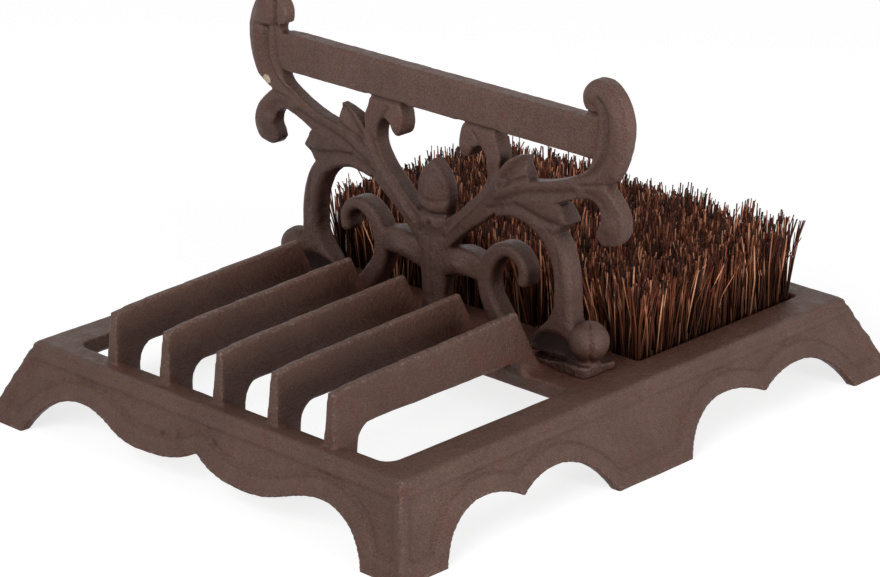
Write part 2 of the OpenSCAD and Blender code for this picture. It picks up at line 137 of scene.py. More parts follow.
def round_cut(a, b, r):
    """Where both fields are inside, with the edge between them rounded."""
    a = a + r
    b = b + r
    return np.minimum(np.maximum(a, b), 0) + np.hypot(np.maximum(a, 0), np.maximum(b, 0)) - r


def soft_join(a, b, r):
    """Where either field is inside, with a fillet between them."""
    return np.minimum(a, b) - np.maximum(r - np.abs(a - b), 0) ** 2 / (4 * r)


def ramp(value, low, high):
    """A smooth step from 0 at low to 1 at high."""
    t = np.clip((value - low) / (high - low), 0, 1)
    return t * t * (3 - 2 * t)


def hump(distance, width):
    """A smooth bump of height 1 that fades over a width."""
    return np.exp(-(distance / width) ** 2)


def waviness(axes, cell, seed):
    """Smooth seeded noise from -1 to 1 over a grid, for the unevenness of a sand casting."""
    counts = [int((axis[-1] - axis[0]) / cell) + 3 for axis in axes]
    noise = np.random.default_rng(seed).uniform(-1, 1, counts).astype(np.float32)
    for k, axis in enumerate(axes):
        place = (axis - axis[0]) / cell
        first = place.astype(int)
        part = (place - first).astype(np.float32)
        shape = [1, 1, 1]
        shape[k] = -1
        part = (part * part * (3 - 2 * part)).reshape(shape)
        noise = np.take(noise, first, k) * (1 - part) + np.take(noise, first + 1, k) * part
    return noise


def uneven(axes, wave):
    """Waviness of a given height, cell size and seed."""
    height, cell, seed = wave
    return height * waviness(axes, cell, seed)


def box_blur(values, reach, passes=2):
    """Mean over the cells within a reach of each one, along every axis."""
    width = 2 * reach + 1
    for _ in range(passes):
        for k in range(values.ndim):
            edge = [(reach + 1, reach) if i == k else (0, 0) for i in range(values.ndim)]
            total = np.cumsum(np.pad(values, edge, mode="edge"), axis=k)
            count = values.shape[k]
            upper = np.take(total, range(width, width + count), k)
            values = (upper - np.take(total, range(count), k)) / width
    return values


def spread_out(mask, values, reach):
    """Values smoothed within a mask, and carried on past its edge."""
    weight = box_blur(mask.astype(np.float32), reach)
    return box_blur(np.where(mask, values, 0).astype(np.float32), reach) / np.maximum(weight, LEAST_WEIGHT)


def sampled(values, axes, places):
    """Values of a grid at places between its points."""
    step = axes[0][1] - axes[0][0]
    cells = (places - [axis[0] for axis in axes]) / step
    first = np.clip(cells.astype(int), 0, np.array(values.shape) - 2)
    part = cells - first
    total = 0
    for corner in np.ndindex(2, 2, 2):
        weight = np.prod(np.where(corner, part, 1 - part), axis=1)
        total = total + weight * values[tuple((first + corner).T)]
    return total


def surface(field, axes):
    """Quads over the zero level of a field: one vertex in each cell that the surface crosses."""
    steps = [axis[1] - axis[0] for axis in axes]
    shape = np.array(field.shape)
    stride = np.array([shape[1] * shape[2], shape[2], 1])
    inside = field < 0
    owners = []
    places = []
    quads = []
    for k in range(3):
        i, j = (k + 1) % 3, (k + 2) % 3
        lower = np.take(inside, range(shape[k] - 1), k)
        upper = np.take(inside, range(1, shape[k]), k)
        at = np.argwhere(lower != upper)
        at = at[(at[:, i] > 0) & (at[:, j] > 0)]
        key = at @ stride
        start = field.ravel()[key]
        cross = at.astype(np.float32)
        cross[:, k] += start / (start - field.ravel()[key + stride[k]])
        ring = [key - stride[i] - stride[j], key - stride[j], key, key - stride[i]]
        turned = start > 0
        ring = np.stack(ring, axis=1)
        ring[turned] = ring[turned][:, ::-1]
        owners.append(ring.ravel())
        places.append(np.repeat(cross, 4, axis=0))
        quads.append(ring)
    cells, index = np.unique(np.concatenate(owners), return_inverse=True)
    places = np.concatenate(places)
    counts = np.bincount(index)
    vertices = np.stack([np.bincount(index, places[:, k]) / counts for k in range(3)], axis=1)
    vertices = vertices * steps + [axis[0] for axis in axes]
    return vertices, np.searchsorted(cells, np.concatenate(quads))


def grid(low, high, step):
    """Three axes of sample places that cover a box, in mm."""
    return [np.arange(a, b + step, step, dtype=np.float32) for a, b in zip(low, high)]


# Meshes

def new_mesh(name, vertices, faces):
    """A smooth mesh from vertices in mm and faces that all have as many corners."""
    mesh = bpy.data.meshes.new(name)
    count, corners = faces.shape
    mesh.vertices.add(len(vertices))
    mesh.vertices.foreach_set("co", (vertices * MM).astype(np.float32).ravel())
    mesh.loops.add(count * corners)
    mesh.loops.foreach_set("vertex_index", faces.astype(np.int32).ravel())
    mesh.polygons.add(count)
    mesh.polygons.foreach_set("loop_start", np.arange(0, count * corners, corners, dtype=np.int32))
    mesh.polygons.foreach_set("use_smooth", np.ones(count, bool))
    mesh.update(calc_edges=True)
    mesh.validate()
    return mesh


def new_piece(name, mesh, material):
    """An object for a mesh, with its material, that rides on the one body."""
    mesh.materials.append(material)
    piece = bpy.data.objects.new(name, mesh)
    bpy.context.scene.collection.objects.link(piece)
    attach(piece, "root")
    return piece


def thinned(mesh):
    """The mesh in triangles, with fewer of them where it has more than the limit."""
    count = 2 * len(mesh.polygons)
    holder = bpy.data.objects.new("holder", mesh)
    bpy.context.scene.collection.objects.link(holder)
    change = holder.modifiers.new("fewer", "DECIMATE")
    change.ratio = min(1.0, FACE_LIMIT / count)
    change.use_collapse_triangulate = True
    seen = holder.evaluated_get(bpy.context.evaluated_depsgraph_get())
    result = bpy.data.meshes.new_from_object(seen)
    bpy.data.objects.remove(holder)
    return result


def places_mm(mesh):
    """Places of a mesh's vertices, in mm."""
    places = np.zeros(len(mesh.vertices) * 3, np.float32)
    mesh.vertices.foreach_get("co", places)
    return places.reshape(-1, 3) / MM


def store(mesh, name, values):
    """Stores a number at each vertex of a mesh, for its material."""
    mark = mesh.attributes.new(name, "FLOAT", "POINT")
    mark.data.foreach_set("value", values.astype(np.float32))


def mark_bend(mesh, field, axes):
    """Stores how convex the casting is at each vertex, for wear with a painted highlight on edges and
    painted shade in corners.
    """
    step = axes[0][1] - axes[0][0]
    filled = box_blur(np.clip(0.5 - field / step, 0, 1).astype(np.float32), BEND_REACH)
    bend = 1 - 2 * sampled(filled, axes, places_mm(mesh))
    store(mesh, "bend", np.clip(bend, -1, 1))


# Base casting: rim, aprons, blades and brush straps in one piece

APRON_WALL = 5.0
RIM_FILLET = 3.0
TOP_ROUND = 1.3
WINDOW_ROUND = 1.1
LOWER_ROUND = 0.9
LOWER_EXTRA = 0.35
CORNER_SOFTNESS = 0.9
BORDER_WIDTH = 6.6
LEDGE_DEPTH = 6.0
CORNER_BAND = 3.4
STEP_RUN = 1.4
PANEL_SINK = 1.05
SIDE_SHARE = 0.85
CREASE_DEPTH = 0.45
CREASE_WIDTH = 1.0
EDGE_DROP = 3.0
EDGE_CREASE = 0.45
EDGE_WIDTH = 0.8
BLADE_ROUND = 0.7
FRONT_FILLET = 1.6
REAR_FILLET = 6.0
REAR_FILLET_RUN = 40.0
BLADES_EACH_SIDE = 2
BLADE_FACES = 0.98
STRAP_ROUND = 1.0
STRAP_FILLET = 2.0
STRAP_INTO_RIM = 1.0

# Unevenness of the base: height, cell size and seed
CORNER_WAVE = (0.35, 2.4, 4)
BASE_WAVES = ((0.12, 14.0, 5), (0.07, 4.0, 6))

# Worn ornament on the front apron: x and z of its leaf, its curl, and its pits with their widths
LEAF = (-15.0, 20.0)
LEAF_REACH = (12.0, 6.0)
LEAF_HEIGHT = 0.9
LEAF_SPREAD = 0.8
RIB_HEIGHT = 0.35
RIB_SPREAD = 0.75
RIB_COUNT = 9
RIB_DROP = 3.0
CURL = (3.5, 25.0)
CURL_RADIUS = 3.6
CURL_HEIGHT = 0.45
CURL_WIDTH = 1.7
PITS = ((-21.7, 19.0, 1.5, 1.1), (-13.5, 21.6, 1.1, 1.6), (7.2, 22.6, 1.4, 1.6))
PIT_DEPTH = 0.9


def front_ornament(x, z):
    """Height of the worn leaf ornament on the front apron, over its x and z."""
    u = x - LEAF[0]
    v = z - LEAF[1]
    out = np.hypot(u / LEAF_REACH[0], v / LEAF_REACH[1])
    height = LEAF_HEIGHT * hump(out, LEAF_SPREAD)
    angle = np.arctan2(u, LEAF_REACH[1] + RIB_DROP - v)
    ribs = RIB_HEIGHT * np.cos(angle * RIB_COUNT) * hump(out, RIB_SPREAD)
    around = np.hypot(x - CURL[0], z - CURL[1])
    curl = CURL_HEIGHT * hump(around - CURL_RADIUS, CURL_WIDTH)
    height = height + ribs + curl
    for pit_x, pit_z, width, tall in PITS:
        height = height - PIT_DEPTH * hump(np.hypot((x - pit_x) / width, (z - pit_z) / tall), 1.0)
    return height


def lower_edge_field(u, z, node, normal, keep, spread_at_ground, top):
    """Distance to an apron's scalloped lower edge, negative in the wall above it."""
    edges = face_edges(node, normal, keep)
    slope = spread_at_ground[1]
    mitre = np.abs(np.abs(edges[:, :, 0]) + slope * edges[:, :, 1] - spread_at_ground[0]) < NEAR
    upper = edges[:, :, 1] > top - NEAR
    edges = edges[~np.all(mitre, axis=1) & ~np.all(upper, axis=1)]
    far = edge_distance(u, z, edges)
    return np.where(odd_above(u, z, edges), far, -far)


def base_fields():
    """Axes and field of the base casting."""
    rim_low, rim_high = box_mm("rim_frame")
    front_high = box_mm("front_apron")[1]
    top = rim_high[2]
    rim_x, rim_y = rim_high[:2]
    slope = (front_high[0] - rim_x) / top
    lean = 1 / math.hypot(1, slope)
    side_high = box_mm("right_apron")[1]
    blade_low, blade_high = box_mm("scraper_blade_3")
    low = (-front_high[0] - MARGIN, -side_high[1] - MARGIN, -MARGIN)
    high = (front_high[0] + MARGIN, side_high[1] + MARGIN, blade_high[2] + MARGIN)
    axes = grid(low, high, BASE_STEP)
    x = axes[0][:, None, None]
    y = axes[1][None, :, None]
    z = axes[2][None, None, :]

    # Splayed outer skin with softened corners
    side_gap = (np.abs(x) - rim_x - slope * (top - z)) * lean
    end_gap = (np.abs(y) - rim_y - slope * (top - z)) * lean
    skin = -soft_join(-side_gap, -end_gap, CORNER_SOFTNESS)

    # Scalloped lower edges, seen from the front and from the side
    front_look = (0, -lean, slope * lean)
    front_edge = lower_edge_field(axes[0][:, None], axes[2][None, :], "front_apron", front_look, [0, 2],
                                  (front_high[0], slope), top)
    side_look = (lean, 0, slope * lean)
    side_edge = lower_edge_field(axes[1][:, None], axes[2][None, :], "right_apron", side_look, [1, 2],
                                 (side_high[1], slope), top)
    lower = np.maximum(front_edge[:, None, :], side_edge[None, :, :]) - LOWER_EXTRA

    # Sunk panels inside a raised border, rough corner bands, and the ornament at the front
    corner = np.abs(side_gap - end_gap)
    panel = ramp(-lower, BORDER_WIDTH, BORDER_WIDTH + STEP_RUN)
    panel = panel * ramp(top - z, LEDGE_DEPTH, LEDGE_DEPTH + STEP_RUN)
    off_corner = ramp(corner, CORNER_BAND, CORNER_BAND + STEP_RUN)
    panel = panel * off_corner
    crease = hump(lower + BORDER_WIDTH + STEP_RUN, CREASE_WIDTH) * panel
    share = np.where(side_gap > end_gap, SIDE_SHARE, 1.0)
    outer = skin + share * (PANEL_SINK * panel + CREASE_DEPTH * crease)
    outer = outer + EDGE_CREASE * hump(top - z - EDGE_DROP, EDGE_WIDTH)
    rough, cell, seed = CORNER_WAVE
    outer = outer + rough * (1 - off_corner) * waviness(axes, cell, seed)
    outer = outer - np.where(y < -rim_y / 2, front_ornament(x, z), 0)

    # Hollow below the rim plate, with a fillet where plate and wall meet
    body = np.maximum(outer, soft_join(-(skin + APRON_WALL), rim_low[2] - z, RIM_FILLET))
    windows = face_edges("rim_frame", (0, 0, 1), [0, 1], through=(0, 0, top))
    on_side = np.abs(np.abs(windows[:, :, 0]) - rim_x) < FLAT
    on_end = np.abs(np.abs(windows[:, :, 1]) - rim_y) < FLAT
    windows = windows[~np.all(on_side | on_end, axis=1)]
    opening = outline_field(axes[0][:, None], axes[1][None, :], windows)[:, :, None]
    body = round_cut(body, -opening, WINDOW_ROUND)
    body = round_cut(body, lower, LOWER_ROUND)
    body = round_cut(body, z - top, TOP_ROUND)

    # Five drafted blades
    pitch = box_mm("scraper_blade_4")[0][0] - blade_low[0]
    side_view = face_edges("scraper_blade_3", (1, 0, 0), [1, 2], spread=BLADE_FACES)
    profile = outline_field(axes[1][:, None], axes[2][None, :], side_view)[None, :, :]
    root_half = blade_high[0]
    corners = node_points("scraper_blade_3")
    edge_half = corners[corners[:, 2] > blade_high[2] - FLAT, 0].max()
    half = root_half + (edge_half - root_half) * np.clip((z - top) / (blade_high[2] - top), 0, 1)
    beside = np.abs(x - pitch * np.clip(np.round(x / pitch), -BLADES_EACH_SIDE, BLADES_EACH_SIDE))
    rear = side_view[:, :, 0].max()
    fillet = FRONT_FILLET + (REAR_FILLET - FRONT_FILLET) * ramp(y, rear - REAR_FILLET_RUN, rear)
    body = soft_join(body, round_cut(profile, beside - half, BLADE_ROUND), fillet)

    # Two straps below the brush
    block_bottom = box_mm("brush_block")[0][2]
    for node in ("front_brush_strap", "rear_brush_strap"):
        strap_low, strap_high = box_mm(node)
        thick = block_bottom - strap_low[2]
        above = z - strap_high[2] - STRAP_INTO_RIM
        outside = np.maximum(np.abs(x) - strap_high[0], np.maximum(strap_low[2] - z, above))
        hollow = np.maximum(np.abs(x) - strap_high[0] + thick, block_bottom - z)
        across = np.abs(y - (strap_low[1] + strap_high[1]) / 2) - (strap_high[1] - strap_low[1]) / 2
        strap = round_cut(np.maximum(outside, -hollow), across, STRAP_ROUND)
        body = soft_join(body, strap, STRAP_FILLET)
    for wave in BASE_WAVES:
        body = body + uneven(axes, wave)
    box = np.maximum(np.abs(x) - front_high[0], np.abs(y) - side_high[1])
    return axes, np.maximum(np.maximum(body, box), np.maximum(-z, z - blade_high[2]))


# Upright casting: bar, scrolls, legs, volutes and bud in one piece

FOOT_X = 85.5
BALL_RADIUS = 8.6
BALL_Z = 48.8
BALL_FILLET = 1.2
BALL_GROOVE = 0.9
GROOVE_WIDTH = 1.2
NECK_RADIUS = 4.6
PLATE_ENDS = (57.5, 90.3)
PLATE_WIDE = 8.8
PLATE_NARROW = 6.2
PLATE_BACK = 6.0
PLATE_CORNER = 5.0
PLATE_THICK = 4.6
PLATE_FALL = 2.4
FALL_RUN = (0.2, 0.9)
PLATE_ROUND = 0.8
SCOOP_DEPTH = 3.0
SCOOP_EDGE = (1.2, 3.6)
SCOOP_START = (7.5, 13.0)
SCOOP_FADE = 0.6
BOLT_BORE = 3.1
BOLT_END = 48.0
BACK_RELIEF = 0.6
BACK_EDGE = 0.6
BACK_FADE = 2.5
FINIAL_BACK = 1.7
THIN_EDGE = 0.5
LEAST_HALF = 1.0
LEAST_EDGE = 0.3
LEAST_THICKNESS = 1.6
FRONT_MARGIN = 3.0

# Reading the regions' outlines: longest edge, probe to each side, reach past the middle, blending
EDGE_LENGTH = 0.8
PROBE = 0.06
PAST_MIDDLE = 6.0
BLEND_REACH = 4

# Unevenness of the upright: height, cell size and seed
PLATE_WAVE = (0.35, 1.7, 7)
UPRIGHT_WAVES = ((0.12, 9.0, 8), (0.09, 2.6, 9))

# Regions: half thickness to the front and to the back, swell in the middle, its width, rounding in front
REGIONS = {
    "top_bar": (3.75, 3.75, 0.0, 3.0, 0.6),
    "right_outer_scroll": (3.75, 2.5, 0.7, 2.8, 1.3),
    "right_inner_scroll": (3.75, 4.4, 0.5, 2.6, 1.3),
    "right_leg": (3.9, 5.2, 0.4, 2.2, 2.6),
    "right_volute": (3.9, 4.8, 0.4, 2.0, 2.4),
    "centre_bud": (2.4, 3.4, 3.8, 6.0, 2.0),
}

# Lines cut into the faces or raised on them: x and height above the rim, height, width
RELIEF = (
    # Finial: groove beside its outer band, rib, groove inside the rib, band, crease below the head
    (((94.5, 121.5), (97, 118), (98.3, 114), (98.4, 108), (98, 103), (97, 98), (94.5, 93.5), (91, 89.5),
      (86, 86.2), (80, 83.8)), -1.0, 1.3),
    (((95, 118), (95.7, 112), (95.4, 104), (94.2, 98), (91.5, 93), (87, 89)), 0.6, 1.2),
    (((91, 118.5), (92.8, 115), (93, 110), (92.6, 104), (91.2, 98), (88, 93)), -0.7, 1.0),
    (((102.5, 92), (104, 98), (104.6, 105), (104, 112), (101, 118.5), (96, 123.2), (90.5, 123)), 1.5, 3.4),
    (((87.3, 114.7), (89.5, 114), (91.8, 114.4)), -1.5, 0.9),
    # Bar: line below its upper edge
    (((0, 111.2), (40, 111.2), (80, 111.2)), -0.7, 0.6),
    # Hook: crease above it, hollow in its bend
    (((84, 82.2), (90, 83.6), (95, 84.8), (100, 85.8)), -0.9, 0.9),
    (((88, 79.2), (93.5, 78.2), (96.5, 75)), -1.2, 2.4),
    # Stem: deep groove along it, groove beside the upper leaf, slope down to its lower edge
    (((37, 64), (44, 67), (50, 70.3), (58, 72.8), (66, 74.6), (74, 76.6), (80, 78.3)), -1.3, 1.7),
    (((39, 71.5), (46, 75.2), (54, 78.6)), -1.1, 0.9),
    (((6, 31), (12, 39), (20, 46.5), (28, 52.3), (34.5, 57.5), (39, 61.5)), -0.6, 2.8),
    # Upper leaf: hollow along its middle
    (((42, 75.5), (47, 81), (51.5, 85.5)), -2.3, 2.5),
    # Low leaf: groove below it
    (((34, 60.6), (42, 63.2), (50, 65.0), (56, 64.2), (62, 62.8), (68, 62.2), (71.5, 62.4)), -1.3, 1.5),
    # Edge of the stem over the inner scroll, and the hollow beside it
    (((37, 75), (35, 70), (30, 63.5), (20, 54), (10, 44)), 0.7, 0.9),
    (((35.5, 78), (32.6, 71.5), (27.6, 65), (18, 56), (9, 47)), -0.9, 1.6),
    # Inner scroll: crease under the bar, groove round the hook's bulb
    (((15, 94.8), (26, 94.8), (38, 94.8)), -1.2, 0.8),
    (((25, 91.5), (27, 88.5), (28.5, 85), (31, 81)), -0.9, 1.0),
    # Leg: crease along it
    (((60, 62), (66, 59.6), (69.6, 55.5), (71.8, 50), (72.8, 44), (73, 36)), -0.4, 0.8),
    # Bud: collar, creases above and below it, soft ridge down its front
    (((0, 53.6), (4, 53.8), (8, 54.6)), 0.4, 1.3),
    (((0, 56.4), (4, 56.6), (8, 57.4)), -0.25, 0.9),
    (((0, 50.4), (4, 50.4), (7.5, 50.8)), -1.5, 1.1),
    (((0, 72), (0.6, 66), (0.4, 59)), 0.5, 2.0),
    # Groove between the two stems below the bud
    (((0, 46), (0, 38), (0, 28), (0, 12)), -1.1, 1.3),
)

# Bulbs raised on the faces: x and height above the rim, height, width
BULBS = (
    ((88.5, 120.5), 1.3, 5.0),
    ((101, 68), 1.6, 5.0),
    ((20, 84.5), 1.1, 3.2),
    ((68, 67.6), 0.8, 4.0),
    ((17.5, 31.5), 2.8, 4.4),
    ((12, 30), 0.8, 3.0),
    ((3.5, 46), 0.9, 2.4),
)

# Left finial: creases below and beside its dome, its bulb, the dome itself and the cut at its neck
LEFT_RELIEF = (
    (((103.5, 113.6), (100, 113.1), (96, 113.7), (91.4, 115)), -1.1, 1.2),
    (((91.6, 115.2), (91.8, 120), (91.7, 126)), -1.3, 1.1),
)
LEFT_BULBS = (
    ((99, 119.5), 0.6, 5.0),
)
DOME_HEIGHT = 1.3
DOME_RISE = (112.4, 115.0)
DOME_SIDE = (101.0, 107.0)
NECK_CUT = ((86.6, 113.4), 3.1)

# Tapered ends beyond the outline: two places, and the radius at each
ENDS = (
    # Tip of the low leaf
    ((67.5, 66.0), (75.2, 64.0), 4.0, 0.9),
    # Gap below the bud
    ((8.6, 42.6), (8.6, 43.6), 1.9, 1.9),
    # Round end of the hook
    ((97.3, 63.9), (101, 65.0), 4.4, 4.6),
)
END_JOIN = 1.5

# Growth of the outline: at the finials with where it starts, and of whole regions
FINIAL_EXTRA = 0.5
FINIAL_FROM = ((84, 90), (88, 100))
FULLER = {"right_leg": 0.6, "right_volute": 0.9}

# Areas with a thin back: where x and the height above the rim fade in, and where they fade out, if they do
THIN_AREAS = (
    ((86, 98), None, (86, 100), None),
    ((82, 85), None, (112, 113.5), None),
    ((87, 90), None, (109, 112), None),
    ((40, 49), (58, 62), (79, 86), (91, 94)),
)

# Pocket in the leg's flare, darkened by painted shade: its middle line, where it is whole and where it
# ends, its depth, and the reach of its painted shade
POCKET = ((61.5, 7.5), (67, 8.6), (72.5, 9.2), (77.5, 7.0))
POCKET_WIDTH = (0.6, 8.0)
POCKET_DEPTH = 3.4
POCKET_SHADE_REACH = (1.2, 8.4)


def smooth_line(points, steps=6):
    """Edges along a smooth curve through the points."""
    p = np.array(points, float)
    p = np.concatenate([2 * p[:1] - p[1:2], p, 2 * p[-1:] - p[-2:-1]])
    line = []
    for a, b, c, d in zip(p, p[1:], p[2:], p[3:]):
        for t in np.arange(steps) / steps:
            line.append(0.5 * (2 * b + (c - a) * t + (2 * a - 5 * b + 4 * c - d) * t ** 2
                               + (3 * b - a - 3 * c + d) * t ** 3))
    line.append(p[-2])
    line = np.array(line)
    return np.stack([line[:-1], line[1:]], axis=1)


def mark_pocket_shade(mesh):
    """Stores how much painted shade darkens the pocket in each leg's flare, at each vertex."""
    places = places_mm(mesh)
    rise = places[:, 2] - box_mm("rim_frame")[1][2]
    gap = edge_distance(np.abs(places[:, 0]), rise, smooth_line(POCKET))
    store(mesh, "pocket_shade", ramp(-gap, -POCKET_SHADE_REACH[1], -POCKET_SHADE_REACH[0]))


def tapered(u, rise, one, two, thick, slim):
    """Distance to a bar with round ends of two radii."""
    run = (two[0] - one[0], two[1] - one[1])
    along = ((u - one[0]) * run[0] + (rise - one[1]) * run[1]) / (run[0] ** 2 + run[1] ** 2)
    along = np.clip(along, 0, 1)
    far = np.hypot(u - one[0] - run[0] * along, rise - one[1] - run[1] * along)
    return far - thick - (slim - thick) * along


def relief_over(u, rise, lines, bulbs):
    """Height of the carved lines and bulbs over the upright's face."""
    height = np.zeros(np.broadcast(u, rise).shape, np.float32)
    for points, tall, width in lines:
        height = height + tall * hump(edge_distance(u, rise, smooth_line(points)), width)
    for (bulb_x, bulb_rise), tall, width in bulbs:
        height = height + tall * hump(np.hypot(u - bulb_x, rise - bulb_rise), width)
    return height


def thin_over(u, rise):
    """1 where the upright has a thin back, and 0 elsewhere."""
    thin = np.zeros(np.broadcast(u, rise).shape, np.float32)
    for left, right, lower, upper in THIN_AREAS:
        part = ramp(u, *left)
        if right:
            part = part * ramp(-u, -right[1], -right[0])
        part = part * ramp(rise, *lower)
        if upper:
            part = part * ramp(-rise, -upper[1], -upper[0])
        thin = np.maximum(thin, part)
    return thin


def panel_half(axes, middle_y, outline, fronts, backs, edge, relief, thin, pocket):
    """Field of half the upright's panel, from maps of its outline, thickness, rounding and relief."""
    back_half = np.maximum(backs + BACK_RELIEF * relief * (1 - hump(outline, BACK_FADE)), LEAST_HALF)
    back_half = back_half * (1 - thin) + FINIAL_BACK * thin
    front_half = np.maximum(fronts + relief, LEAST_HALF) - POCKET_DEPTH * pocket
    front_half = np.maximum(front_half, LEAST_THICKNESS - back_half)
    front_edge = np.clip(front_half, LEAST_EDGE, edge * (1 - THIN_EDGE * thin))
    back_edge = np.minimum(BACK_EDGE + thin, back_half)
    y = axes[1][None, :, None] - middle_y
    front = round_cut(outline[:, None, :], -y - front_half[:, None, :], front_edge[:, None, :])
    back = round_cut(outline[:, None, :], y - back_half[:, None, :], back_edge[:, None, :])
    return np.maximum(front, back)


def upright_fields():
    """Axes and field of the upright casting: its right half, mirrored."""
    bar_low, bar_high = box_mm("top_bar")
    scroll_high = box_mm("right_outer_scroll")[1]
    rim_top = box_mm("rim_frame")[1][2]
    middle_y = (bar_low[1] + bar_high[1]) / 2
    bolt_low, bolt_high = box_mm("upright_bolts")
    foot_y = (bolt_low[1] + bolt_high[1]) / 2
    low = (0, foot_y - BALL_RADIUS - FRONT_MARGIN, rim_top - MARGIN)
    high = (scroll_high[0] + MARGIN, foot_y + PLATE_WIDE + PLATE_BACK + MARGIN, scroll_high[2] + MARGIN)
    axes = grid(low, high, UPRIGHT_STEP)
    u = axes[0][:, None]
    v = axes[2][None, :]

    # Outline of the whole casting: the regions' outlines without the lines where they meet
    outlines = {n: face_edges(n, (0, -1, 0), [0, 2], through=(0, bar_low[1], 0)) for n in REGIONS}
    edges = finer(np.concatenate(list(outlines.values())), EDGE_LENGTH)
    middle = edges.mean(1)
    run = edges[:, 1] - edges[:, 0]
    lengths = np.maximum(np.linalg.norm(run, axis=1), TINY)
    normal = np.stack([-run[:, 1], run[:, 0]], axis=1) / lengths[:, None]
    free = np.zeros(len(edges), bool)
    for side in (-PROBE, PROBE):
        probe = middle + side * normal
        covered = np.zeros(len(edges), bool)
        for outline in outlines.values():
            covered |= odd_above(probe[:, 0], probe[:, 1], outline)
            covered |= odd_above(-probe[:, 0], probe[:, 1], outline)
        free |= ~covered
    inside = np.zeros((len(axes[0]), len(axes[2])), bool)
    for outline in outlines.values():
        inside |= odd_above(u, v, outline)
    near = edges[free & (middle[:, 0] > -PAST_MIDDLE)]
    outline = edge_distance(u, v, near)
    outline = np.where(inside, -outline, outline)

    # Thickness, edge rounding and relief over the outline
    rise = v - rim_top
    outline = outline - FINIAL_EXTRA * ramp(u, *FINIAL_FROM[0]) * ramp(rise, *FINIAL_FROM[1])
    for node, extra in FULLER.items():
        outline = np.minimum(outline, outline_field(u, v, outlines[node]) - extra)
    for one, two, thick, slim in ENDS:
        outline = soft_join(outline, tapered(u, rise, one, two, thick, slim), END_JOIN)
    fronts = np.zeros(inside.shape, np.float32)
    backs = np.zeros(inside.shape, np.float32)
    edge = np.zeros(inside.shape, np.float32)
    for node, (front, back, swell, run, rounding) in REGIONS.items():
        part = odd_above(u, v, outlines[node])
        crown = swell * (1 - hump(outline, run))
        fronts = np.where(part, front + crown, fronts)
        backs = np.where(part, back + crown, backs)
        edge = np.where(part, rounding, edge)
    fronts = spread_out(inside, fronts, BLEND_REACH)
    backs = spread_out(inside, backs, BLEND_REACH)
    edge = spread_out(inside, edge, BLEND_REACH)
    thin = thin_over(u, rise)
    pocket = ramp(-edge_distance(u, rise, smooth_line(POCKET)), -POCKET_WIDTH[1], -POCKET_WIDTH[0])
    relief = relief_over(u, rise, RELIEF, BULBS)
    right_half = panel_half(axes, middle_y, outline, fronts, backs, edge, relief, thin, pocket)

    # The left half has a domed finial with a cut neck
    dome = ramp(rise, *DOME_RISE) * ramp(-u, -DOME_SIDE[1], -DOME_SIDE[0])
    neck = NECK_CUT[1] - np.hypot(u - NECK_CUT[0][0], rise - NECK_CUT[0][1])
    neck = np.minimum(neck, v - bar_high[2])
    outline = np.maximum(outline, neck)
    relief = relief * (1 - dome) + DOME_HEIGHT * dome + relief_over(u, rise, LEFT_RELIEF, LEFT_BULBS)
    left_half = panel_half(axes, middle_y, outline, fronts, backs, edge, relief, thin, pocket)

    whole = [np.concatenate([-axes[0][:0:-1], axes[0]]), axes[1], axes[2]]
    body = np.concatenate([left_half[:0:-1], right_half])

    # Ball foot on its neck, in a scooped plate, drilled from below
    x = np.abs(whole[0])[:, None, None]
    y = axes[1][None, :, None] - foot_y
    z = axes[2][None, None, :]
    foot = np.hypot(x - FOOT_X, y)
    turn = np.arctan2(-y, x - FOOT_X) - math.atan2(-CAMERA_BACK[1], CAMERA_BACK[0])
    ball = np.sqrt((x - FOOT_X) ** 2 + y ** 2 + (z - BALL_Z) ** 2) - BALL_RADIUS
    ball = ball + BALL_GROOVE * hump(turn * BALL_RADIUS, GROOVE_WIDTH)
    body = soft_join(body, ball, BALL_FILLET)
    body = soft_join(body, np.maximum(foot - NECK_RADIUS, z - BALL_Z), BALL_FILLET)
    run = PLATE_ENDS[1] - PLATE_ENDS[0]
    along = np.clip((PLATE_ENDS[1] - x) / run, 0, 1)
    back = PLATE_BACK * (1 - along) / 2
    half_depth = PLATE_WIDE + (PLATE_NARROW - PLATE_WIDE) * along + back
    past_end = np.abs(x - sum(PLATE_ENDS) / 2) - run / 2
    plate = round_cut(past_end, np.abs(y - back) - half_depth, PLATE_CORNER)
    scoop = SCOOP_DEPTH * (1 - SCOOP_FADE * along) * ramp(-plate, *SCOOP_EDGE) * ramp(foot, *SCOOP_START)
    fall = np.maximum(ramp(along, *FALL_RUN), ramp(y, 0, PLATE_WIDE + PLATE_BACK))
    plate_top = rim_top + PLATE_THICK - PLATE_FALL * fall - scoop
    plate = round_cut(plate, z - plate_top, PLATE_ROUND) + uneven(whole, PLATE_WAVE)
    body = soft_join(body, plate, BALL_FILLET)

    for wave in UPRIGHT_WAVES:
        body = body + uneven(whole, wave)
    drill = np.minimum(BOLT_BORE - foot, BOLT_END - z)
    body = np.maximum(np.maximum(body, drill), np.maximum(rim_top - z, z - scroll_high[2]))
    return whole, body


# Bristles

TUFT_COLUMNS = 30
TUFT_ROWS = 17
TUFT_FILL = 0.96
TUFT_LEAN = 1.8
TUFT_UNEVEN = 1.6
STRANDS_IN_TUFT = 26
STRAND_RADIUS = (0.28, 0.54)
STRAND_SIDES = 3
STRAND_TAPER = 0.2
STRAND_LEAN = 2.3
STRAND_BOW = 0.7
STRAND_UNEVEN = 2.0
STRAND_SEED = 41
STRAY_SHARE = 0.03
STRAY_LEAN = 3.0
BORDER_LEAN = 0.8
BORDER_POWER = 6
LEAN_POWER = 1.6
ROOT_SHARE = 0.5
TIP_SHARE = 1.15
TIP_REACH = 5.0
TIP_DROP = 2.8
RING_HEIGHTS = (0.0, 0.55, 1.0)


